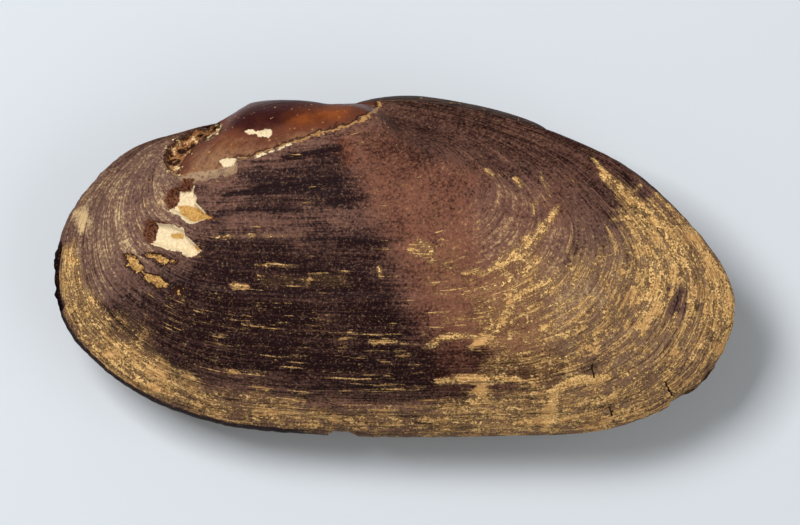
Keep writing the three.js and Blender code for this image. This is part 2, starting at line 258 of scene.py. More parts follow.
def valve_mesh(name, wear, side):
    """One valve as a closed mesh that carries its wear, with its masks as attributes."""
    scale = OUTER_SCALES[:, None]
    face = outer_face(SPOTS, scale)
    x, y, z = face[..., 0], face[..., 1], face[..., 2]
    # the hinge side stands a little fuller just behind the beak
    steep = smooth(z, 2.8, 4.6) * (1 - smooth(z, 9, 15)) * smooth(y, 19, 23)
    face[..., 1] += FULLNESS * smooth(x, -13, -5) * (1 - smooth(x, -4, 2)) * steep
    normal = outward(face)
    x, y, z = face[..., 0], face[..., 1], face[..., 2]
    theta = 2 * math.pi * TURNS
    growth = np.stack(np.broadcast_arrays(np.cos(theta), np.sin(theta), scale), -1)
    rim = smooth(1 - scale, 0, 0.03)

    # growth ledges at the rests, fine growth ridges, and slow unevenness
    height = np.zeros(x.shape)
    for rest, ended in zip(GROWTH_RESTS, GROWTH_RESTS[1:] + (1.01,)):
        newer = (scale > rest) & (scale <= ended)
        height += np.where(newer, LEDGE_HEIGHT * (1 - smooth(scale, rest, rest + LEDGE_LENGTH)), 0)
    height *= smooth(BEAK[1] - y, 0, 8) * rim
    ridges = uneven(growth * (3, 3, 42), 1, 1) * BROAD_RIDGES
    ridges = ridges + uneven(growth * (5, 5, 85), 1, 2) * FINE_RIDGES
    height += ridges * rim * smooth(scale, 0.15, 0.4) * (1 + smooth(scale, 0.7, 0.92))
    height += SLOW_LUMPS * uneven(face, 7, 3) * rim + SMALL_LUMPS * uneven(face, 2.2, 4) * rim

    # worn places: the masks are depths in millimetres inside their outlines, with ragged edges
    ragged = 0.35 * uneven(face, 1.5, 5) + 0.2 * uneven(face, 0.6, 6)
    high = smooth(z, 2.2, 4.2)
    worn = deepest(wear["beak"], x, y)
    groove = deepest(wear["groove"], x, y)
    pitted = deepest(wear["pits"], x, y)
    scuffed = deepest(wear["scuffs"], x, y)
    shallow = (BEAK_WEAR - 0.55 * smooth(x, -24, -11)) * (1 - 0.7 * smooth(y, 23, 27.5))
    floor = np.maximum.reduce([
        shallow * smooth(worn + ragged, 0, 0.5) * high,
        GROOVE_DEPTH * smooth(groove + ragged, -0.1, 0.7),
        PIT_DEPTH * smooth(pitted + 0.5 * ragged, -0.1, 0.9),
        SCUFF_DEPTH * smooth(scuffed + ragged, -0.45, -0.05) * (1 - 0.6 * smooth(scuffed, 0.1, 0.8))])
    height = height * (1 - smooth(worn, -0.3, 0.6) * high) - floor
    crack, crack_run = np.full(x.shape, 9.0), np.full(x.shape, -9.0)
    for (ax, ay), (bx, by) in (plan(*line) for line in wear["cracks"]):
        length = math.hypot(bx - ax, by - ay)
        run = ((x - ax) * (bx - ax) + (y - ay) * (by - ay)) / length
        run = np.minimum(run, length - run)
        off = ((x - ax) * (by - ay) - (y - ay) * (bx - ax)) / length
        closer = np.maximum(abs(off), -run) < np.maximum(abs(crack), -crack_run)
        crack, crack_run = np.where(closer, off, crack), np.where(closer, run, crack_run)
    height -= CRACK_DEPTH * (1 - smooth(np.hypot(crack, np.minimum(crack_run, 0)), 0.1, 0.5))
    shaded = np.zeros(x.shape)
    for line, half, deep, dark in wear["furrows"]:
        near = 1 - smooth(off_line(plan(*line), x, y)[0], 0, half)
        height -= deep * near
        shaded = np.maximum(shaded, dark * near)
    soil = streaked(tinted(np.full(x.shape, 0.16), wear["soil"], x, y), wear["streaks"], x, y)
    # the lower front margin is drawn darker and without mud
    darker_lower_front_margin = smooth(scale, 0.98, 0.992) * (1 - smooth(x, -24, -12)) * (1 - smooth(y, -10, -4))
    soil = soil - 0.6 * darker_lower_front_margin
    height += MUD_HEIGHT * smooth(soil, 0.6, 0.9) * rim
    face = face + normal * height[..., None]

    # chips and fraying of the margin
    edge = smooth(scale, 0.9, 1)
    inward = np.stack([BEAK[0] - face[..., 0], -8 - face[..., 1]], -1)
    inward /= np.linalg.norm(inward, axis=-1, keepdims=True)
    fray = FRAYING * uneven(growth * (24, 24, 1), 1, 7) + FRAYING * uneven(growth * (60, 60, 1), 1, 8)
    fray = fray * (1 + 1.2 * smooth(face[..., 0], 34, 44) * (1 - smooth(face[..., 1], -14, -4)))
    back = np.where(face[..., 1] > 20, 0, fray * edge)
    for line, half, bite in wear["chips"]:
        near = 1 - smooth(off_line(plan(*line), face[..., 0], face[..., 1])[0], half * 0.5, half)
        back = back + bite * near * edge * (1 + 2.5 * uneven(growth * (60, 60, 1), 1, 9) * (bite < 0))
    face[..., :2] += inward * back[..., None]

    inner = inner_face(SPOTS, INNER_SCALES[:, None])
    rows = np.concatenate([face, inner])
    rows[len(face) - 1, :, 2] = 0.0

    # the seat of the ligament in the dorsal edge
    edge_y = dorsal_edge(rows[..., 0])[0]
    room = ligament_girth(rows[..., 0])
    lift = (rows[..., 1] - edge_y) + LIGAMENT_DEPTH
    across = rows[..., 2] / (SEAT_HALF_WIDTH * room + 1e-6)
    low = -SEAT_HALF_HEIGHT * room * np.sqrt(np.maximum(0, 1 - across**2))
    seated = (across < 1) & (lift > low) & (lift < 3) & (room > 0.05)
    rows[..., 1] = np.where(seated, edge_y - LIGAMENT_DEPTH + low, rows[..., 1])

    rows = np.concatenate([rows, rows[:, :1]], axis=1)
    rows[..., 2] = (rows[..., 2] + HALF_GAP) * side
    turned = rows @ np.array(REST.to_3x3()).T + np.array(REST.translation)
    turned[..., 2] = np.maximum(turned[..., 2], 0)
    masks = {
        "worn": worn, "groove": groove, "pitted": pitted, "scuffed": scuffed, "soil": soil,
        "crack": crack, "crack_run": crack_run,
        "light": tinted(np.full(x.shape, 0.42), wear["light"], x, y) - shaded - 0.3 * darker_lower_front_margin,
        "red": tinted(np.full(x.shape, 0.35), wear["red"], x, y),
        "chalk": deepest([plan(*outline) for outline in wear["chalk"]], x, y),
        "tan": deepest([plan(*outline) for outline in wear["tan"]], x, y),
        "ripe": tinted(np.full(x.shape, 0.5), wear["ripe"], x, y),
        "amber": tinted(np.zeros(x.shape), wear["amber"], x, y),
    }

    # a flat grid is rolled into the valve: across it runs the margin, up it the growth lines
    shell = bmesh.new()
    bmesh.ops.create_grid(shell, x_segments=COLUMNS, y_segments=len(rows) - 1, size=1.0)
    kept = shell.verts.layers.int.new("kept")
    flat = np.array([vert.co[:2] for vert in shell.verts])
    column = np.rint((flat[:, 0] + 1) / 2 * COLUMNS).astype(int)
    row = np.rint((flat[:, 1] + 1) / 2 * (len(rows) - 1)).astype(int)
    for vert, r, c in zip(shell.verts, row, column):
        vert.co = turned[r, c] * 0.001
        vert[kept] = r * COLUMNS + c % COLUMNS
    mesh = finished(shell, name)

    where = np.empty(len(mesh.vertices), np.int32)
    mesh.attributes["kept"].data.foreach_get("value", where)
    mesh.attributes.remove(mesh.attributes["kept"])
    inside = (len(inner), COLUMNS)
    for mask, values in masks.items():
        within = np.full(inside, 0 if mask in ("soil", "amber") else values.min())
        values = np.concatenate([values, within]).ravel()[where].astype(np.float32)
        mesh.attributes.new(mask, "FLOAT", "POINT").data.foreach_set("value", values)
    growth = np.concatenate([growth, np.broadcast_to(growth[:1], (*inside, 3))]).reshape(-1, 3)
    growth = growth[where].ravel().astype(np.float32)
    mesh.attributes.new("growth", "FLOAT_VECTOR", "POINT").data.foreach_set("vector", growth)
    return mesh


class Nodes:
    """Adds nodes to a material or a group, their inputs given as values or as other nodes' outputs."""

    def __init__(self, tree):
        self.tree = tree

    def add(self, kind, inputs=None, output=0, **settings):
        node = self.tree.nodes.new("ShaderNode" + kind)
        for name, value in settings.items():
            setattr(node, name, value)
        for name, value in (inputs or {}).items():
            if isinstance(value, bpy.types.NodeSocket):
                self.tree.links.new(value, node.inputs[name])
            else:
                node.inputs[name].default_value = value
        return node if output is None else node.outputs[output]

    def math(self, operation, a, b=0.0):
        return self.add("Math", {0: a, 1: b}, operation=operation)

    def plus(self, a, b):
        return self.math("ADD", a, b)

    def minus(self, a, b):
        return self.math("SUBTRACT", a, b)

    def times(self, a, b):
        return self.math("MULTIPLY", a, b)

    def most(self, a, b):
        return self.math("MAXIMUM", a, b)

    def step(self, value, low, high, start=0.0, end=1.0):
        ends = {"Value": value, "From Min": low, "From Max": high, "To Min": start, "To Max": end}
        return self.add("MapRange", ends, interpolation_type="SMOOTHSTEP")

    def mix(self, share, a, b):
        return self.add("Mix", {0: share, 6: a, 7: b}, output=2, data_type="RGBA")

    def grain(self, vector, scale, detail=3.0, roughness=0.55):
        return self.add("TexNoise", {"Vector": vector, "Scale": scale, "Detail": detail,
                                     "Roughness": roughness})

    def stretched(self, vector, around, across):
        return self.add("VectorMath", {0: vector, 1: (around, around, across)}, operation="MULTIPLY")

    def attribute(self, name, output="Fac"):
        return self.add("Attribute", output=output, attribute_name=name)


def colour(red, green, blue):
    """A colour as it looks on a screen, 0 to 255, as the linear value that a shader takes."""
    shares = (red / 255, green / 255, blue / 255)
    return (*(c / 12.92 if c <= 0.04045 else ((c + 0.055) / 1.055) ** 2.4 for c in shares), 1.0)


def group(name, inputs, outputs):
    """An empty node group, a maker of its nodes, its output node and its inputs' sockets."""
    tree = bpy.data.node_groups.new(name, "ShaderNodeTree")
    kinds = {"f": "NodeSocketFloat", "v": "NodeSocketVector", "c": "NodeSocketColor"}
    for socket, kind in inputs.items():
        tree.interface.new_socket(socket, in_out="INPUT", socket_type=kinds[kind])
    for socket, kind in outputs.items():
        tree.interface.new_socket(socket, in_out="OUTPUT", socket_type=kinds[kind])
    given = tree.nodes.new("NodeGroupInput").outputs
    return tree, Nodes(tree), tree.nodes.new("NodeGroupOutput"), [given[socket] for socket in inputs]


def clefts(n, growth):
    """Thin clefts between the growth lines, in the skin and in the mud on it. Painted shade darkens the skin
    along them.
    """
    checks = n.grain(n.stretched(growth, 1.5, 60), 1, 3)
    return n.minus(1.0, n.step(n.math("ABSOLUTE", n.minus(checks, 0.5)), 0.0, 0.03))


# The horny skin: growth lines, coarse growth bands and grain, from near-black to grey or red-brown.
horny_skin, n, result, (growth, place, light, red) = group(
    "horny_skin",
    {"Growth": "v", "Place": "v", "Light": "f", "Red": "f"},
    {"Color": "c", "Height": "f", "Roughness": "f"})
hair = n.grain(n.stretched(growth, 2.4, 300), 1, 2)
lines = n.grain(n.stretched(growth, 2, 120), 1, 2)
threads = n.grain(n.stretched(growth, 2, 190), 1, 2)
bands = n.grain(n.stretched(growth, 2, 34), 1, 3)
blotches = n.grain(place, 240, 4, 0.6)
specks = n.grain(place, 1700, 3, 0.7)
sand = n.grain(place, 2500, 2, 0.6)
cleft = clefts(n, growth)
age = n.add("SeparateXYZ", {0: growth}, output=2)
cleft = n.times(cleft, n.step(age, 0.6, 0.95))
lined, grained = 0.0, 0.0
for part, share in ((hair, 0.55), (threads, 0.4), (lines, 0.4), (bands, 0.4)):
    lined = n.plus(lined, n.times(n.minus(part, 0.5), share))
for part, share in ((blotches, 0.6), (specks, 1.05), (sand, 0.5)):
    grained = n.plus(grained, n.times(n.minus(part, 0.5), share))
texture = n.plus(n.times(lined, n.step(red, 0.3, 0.8, 1.1, 0.3)), grained)
strength = n.step(light, 0.0, 0.5, 0.5, 1.05)
total = n.plus(light, n.times(texture, strength))
# painted shade: the skin is darkened along the clefts between its growth lines
total = n.minus(total, n.times(cleft, 0.22))
deep = n.mix(red, colour(20, 8, 13), colour(38, 13, 11))
middle = n.mix(red, colour(103, 79, 70), colour(121, 75, 56))
pale = n.mix(red, colour(200, 178, 134), colour(212, 150, 96))
skin_colour = n.mix(n.step(total, 0.0, 0.5), deep, middle)
skin_colour = n.mix(n.step(total, 0.5, 1.0), skin_colour, pale)
skin_colour = n.mix(n.times(n.step(sand, 0.56, 0.76), 0.26), skin_colour,
                    n.mix(red, colour(176, 148, 118), colour(190, 140, 100)))
n.tree.links.new(skin_colour, result.inputs["Color"])
relief = n.plus(n.times(hair, 0.05), n.times(lines, 0.12))
relief = n.plus(relief, n.times(specks, 0.05))
relief = n.minus(relief, n.times(cleft, 0.1))
n.tree.links.new(relief, result.inputs["Height"])
n.tree.links.new(n.step(total, 0.0, 0.9, 0.58, 0.78), result.inputs["Roughness"])

# Dried mud: ochre crumbs that gather along the growth lines where the soil mask is high.
dried_mud, n, result, (growth, place, soil) = group(
    "dried_mud",
    {"Growth": "v", "Place": "v", "Soil": "f"},
    {"Cover": "f", "Color": "c", "Height": "f"})
along = n.grain(n.stretched(growth, 10, 85), 1, 4, 0.65)
clumps = n.grain(place, 620, 3, 0.6)
crumbs = n.grain(place, 1500, 5, 0.75)
fine = n.grain(place, 3000, 2, 0.6)
patchy = n.grain(place, 300, 3, 0.6)
threads = n.grain(n.stretched(growth, 4, 150), 1, 3, 0.6)
drift = n.add("TexNoise", {"Vector": place, "Scale": 500.0, "Detail": 3.0}, output=1)
drift = n.add("VectorMath", {0: drift, 1: (0.003, 0.003, 0.003)}, operation="MULTIPLY")
drifted = n.add("VectorMath", {0: place, 1: drift}, operation="ADD")
web = n.add("TexVoronoi", {"Vector": drifted, "Scale": 290.0}, feature="DISTANCE_TO_EDGE")
cleft = clefts(n, growth)
gather = n.plus(n.times(along, 0.33), n.times(crumbs, 0.47))
gather = n.plus(gather, n.times(clumps, 0.2))
gather = n.plus(gather, n.times(n.minus(soil, 0.53), 0.42))
loose = n.plus(n.grain(place, 2300, 3, 0.65), n.times(n.minus(soil, 0.4), 0.3))
drawn = n.plus(n.times(threads, 0.75), n.times(crumbs, 0.25))
drawn = n.plus(drawn, n.times(n.minus(soil, 0.3), 0.3))
clumped = n.times(n.minus(patchy, 0.5), 0.3)
gather, loose, drawn = (n.plus(amount, clumped) for amount in (gather, loose, drawn))
cover = n.most(n.step(gather, 0.5, 0.565), n.times(n.step(loose, 0.61, 0.68), 0.8))
cover = n.most(cover, n.times(n.step(drawn, 0.585, 0.64), 0.8))
web = n.times(n.step(web, 0.15, 0.03, 0.0, 0.9), n.step(n.plus(patchy, clumped), 0.42, 0.56))
cover = n.most(cover, n.times(n.times(web, n.step(crumbs, 0.4, 0.52)), n.step(soil, 0.36, 0.52)))
cover = n.most(cover, n.step(soil, 0.3, 0.7, 0.0, 0.2))
cover = n.times(cover, n.minus(1.0, n.times(cleft, n.step(soil, 0.8, 0.5, 0.1, 0.75))))
n.tree.links.new(cover, result.inputs["Cover"])
ochre = n.mix(n.step(fine, 0.3, 0.7), colour(152, 106, 60), colour(244, 200, 130))
ochre = n.mix(n.step(patchy, 0.45, 0.7), ochre, colour(198, 150, 94))
ochre = n.mix(n.times(n.step(crumbs, 0.52, 0.66), 0.5), ochre, colour(242, 206, 150))
n.tree.links.new(ochre, result.inputs["Color"])
n.tree.links.new(n.times(cover, n.plus(n.times(fine, 0.16), 0.1)), result.inputs["Height"])

# Eaten shell: the glossy amber layers of the beak, chalk in its hollows, and its crumbly rim.
WEAR_MASKS = ("Worn", "Groove", "Pitted", "Scuffed", "Chalk", "Tan", "Ripe", "Amber")
eaten_shell, n, result, (place, worn, groove, pitted, scuffed, chalk, tan, ripe, amber) = group(
    "eaten_shell",
    {"Place": "v", **{mask: "f" for mask in WEAR_MASKS}},
    {"Cover": "f", "Color": "c", "Height": "f", "Roughness": "f"})
coarse = n.grain(place, 650, 4, 0.65)
fine = n.grain(place, 2300, 3, 0.65)
ragged = n.times(n.minus(n.plus(coarse, n.times(fine, 0.35)), 0.675), 2.6)
layers = n.grain(n.stretched(place, 300, 900), 1, 4, 0.6)


def torn(mask, low, high):
    """A mask from a depth in millimetres, its edge torn by the coarse grain."""
    return n.step(n.plus(mask, ragged), low, high)


def nibbled(mask, low, high):
    """The same with a calmer edge."""
    return n.step(n.plus(mask, n.times(ragged, 0.4)), low, high)


stage_of_wear = n.plus(ripe, n.times(n.minus(layers, 0.5), 0.5))
bare = n.mix(n.step(stage_of_wear, 0.05, 0.5), colour(50, 16, 15), colour(96, 52, 36))
bare = n.mix(n.step(stage_of_wear, 0.5, 0.8), bare, colour(138, 100, 72))
bare = n.mix(n.step(stage_of_wear, 0.95, 1.2), bare, colour(158, 130, 102))
bare = n.mix(n.times(amber, n.step(layers, 0.3, 0.6, 0.5, 1.0)), bare, colour(132, 68, 30))
mottle = n.grain(place, 1400, 4, 0.7)
bare = n.mix(n.times(n.step(mottle, 0.5, 0.62), n.step(stage_of_wear, 0.2, 0.9, 0.1, 0.65)), bare,
             colour(74, 46, 38))
bare = n.mix(n.step(mottle, 0.37, 0.3), bare, colour(186, 140, 88))
# The pit walls: their own brown with painted shade in it, drawn near black as painted shade where ripe is
# near 0, in the small hole by the beak.
pit_wall_with_shade = n.mix(n.step(fine, 0.35, 0.7), colour(54, 28, 24), colour(132, 84, 58))
pit_wall_with_shade = n.mix(n.step(ripe, 0.25, 0.05), pit_wall_with_shade, colour(26, 12, 12))
flakes = n.mix(n.times(n.step(groove, 0.1, 0.6, 0.1, 1.0), n.step(coarse, 0.42, 0.54)), colour(42, 22, 18),
               colour(158, 108, 66))
flakes = n.mix(n.step(n.plus(coarse, n.times(fine, 0.5)), 0.83, 0.9), flakes, colour(224, 198, 150))
inside = n.mix(nibbled(pitted, -0.15, 0.05), bare, pit_wall_with_shade)
scuff = n.mix(n.step(fine, 0.35, 0.65), colour(128, 84, 48), colour(206, 164, 96))
# painted shade: a dark ring round each scuff, where its edge is sunk
inside = n.mix(torn(scuffed, -0.45, -0.25), inside, colour(48, 26, 20))
inside = n.mix(torn(scuffed, 0.0, 0.2), inside, scuff)
rim = n.times(torn(worn, -0.25, -0.05), n.minus(1.0, torn(worn, 0.3, 0.55)))
rim = n.times(rim, n.minus(1.0, nibbled(pitted, -0.15, 0.05)))
inside = n.mix(n.times(rim, n.step(fine, 0.25, 0.6)), inside,
               n.mix(n.step(ripe, 0.6, 0.85), colour(176, 134, 84), colour(138, 112, 88)))
shade = n.times(torn(worn, 0.35, 0.6), n.minus(1.0, torn(worn, 0.75, 1.0)))
inside = n.mix(n.times(shade, n.step(ripe, 1.15, 0.8, 0.1, 0.75)), inside, colour(28, 16, 16))
inside = n.mix(torn(groove, -0.1, 0.1), inside, flakes)
white = n.mix(n.step(fine, 0.3, 0.7), colour(206, 184, 144), colour(232, 214, 178))
inside = n.mix(nibbled(chalk, -0.15, 0.05), inside, white)
inside = n.mix(nibbled(tan, -0.15, 0.2), inside,
               n.mix(n.step(fine, 0.3, 0.7), colour(160, 116, 60), colour(200, 160, 92)))
n.tree.links.new(inside, result.inputs["Color"])
any_wear = n.most(torn(worn, -0.3, -0.1), nibbled(pitted, -0.15, 0.05))
any_wear = n.most(any_wear, torn(groove, -0.1, 0.1))
any_wear = n.most(any_wear, torn(scuffed, -0.45, -0.25))
any_wear = n.most(any_wear, nibbled(chalk, -0.15, 0.05))
n.tree.links.new(any_wear, result.inputs["Cover"])
n.tree.links.new(n.plus(n.times(coarse, 0.16), n.times(fine, 0.08)), result.inputs["Height"])
dull = n.most(nibbled(chalk, -0.15, 0.05), nibbled(pitted, -0.15, 0.05))
dull = n.most(dull, n.step(stage_of_wear, 0.25, 0.7))
n.tree.links.new(n.plus(n.times(dull, 0.45), 0.33), result.inputs["Roughness"])


def skin_material(name):
    """The finish of one valve: skin, the eaten places in it, and the mud that lies on both."""
    material = bpy.data.materials.new(name)
    material.use_nodes = True
    tree = material.node_tree
    n = Nodes(tree)
    shader = tree.nodes["Principled BSDF"]
    shader.inputs["Specular IOR Level"].default_value = 0.06
    shader.inputs["Coat Roughness"].default_value = 0.16
    place = n.add("TexCoord", output="Object")
    growth = n.attribute("growth", "Vector")

    def placed(shared, masks, inputs):
        read = {mask: n.attribute(mask.lower()) for mask in masks}
        return n.add("Group", {**inputs, **read}, None, node_tree=shared).outputs

    skin = placed(horny_skin, ("Light", "Red"), {"Growth": growth, "Place": place})
    eaten = placed(eaten_shell, WEAR_MASKS, {"Place": place})
    mud = placed(dried_mud, ("Soil",), {"Growth": growth, "Place": place})
    mud_cover = n.times(mud["Cover"], n.minus(1.0, eaten["Cover"]))
    base = n.mix(mud_cover, skin["Color"], mud["Color"])
    base = n.mix(eaten["Cover"], base, eaten["Color"])
    wander = n.times(n.minus(n.grain(place, 900), 0.5), 0.7)
    split = n.math("ABSOLUTE", n.plus(n.attribute("crack"), wander))
    split = n.plus(split, n.step(n.attribute("crack_run"), 0.2, -0.2))
    split = n.step(split, 0.07, 0.2)
    base = n.mix(split, colour(24, 12, 12), base)
    tree.links.new(base, shader.inputs["Base Color"])
    rough = n.mix(eaten["Cover"], skin["Roughness"], eaten["Roughness"])
    rough = n.mix(mud_cover, rough, colour(240, 240, 240))
    tree.links.new(rough, shader.inputs["Roughness"])
    gloss = n.times(eaten["Cover"], n.step(eaten["Roughness"], 0.55, 0.35))
    tree.links.new(n.times(gloss, 0.05), shader.inputs["Coat Weight"])
    relief = n.plus(n.times(skin["Height"], n.minus(1.0, eaten["Cover"])),
                    n.times(eaten["Height"], eaten["Cover"]))
    relief = n.plus(relief, n.times(mud["Height"], mud_cover))
    tree.links.new(n.add("Bump", {"Strength": 1.0, "Distance": 0.001, "Height": relief}),
                   shader.inputs["Normal"])
    return material


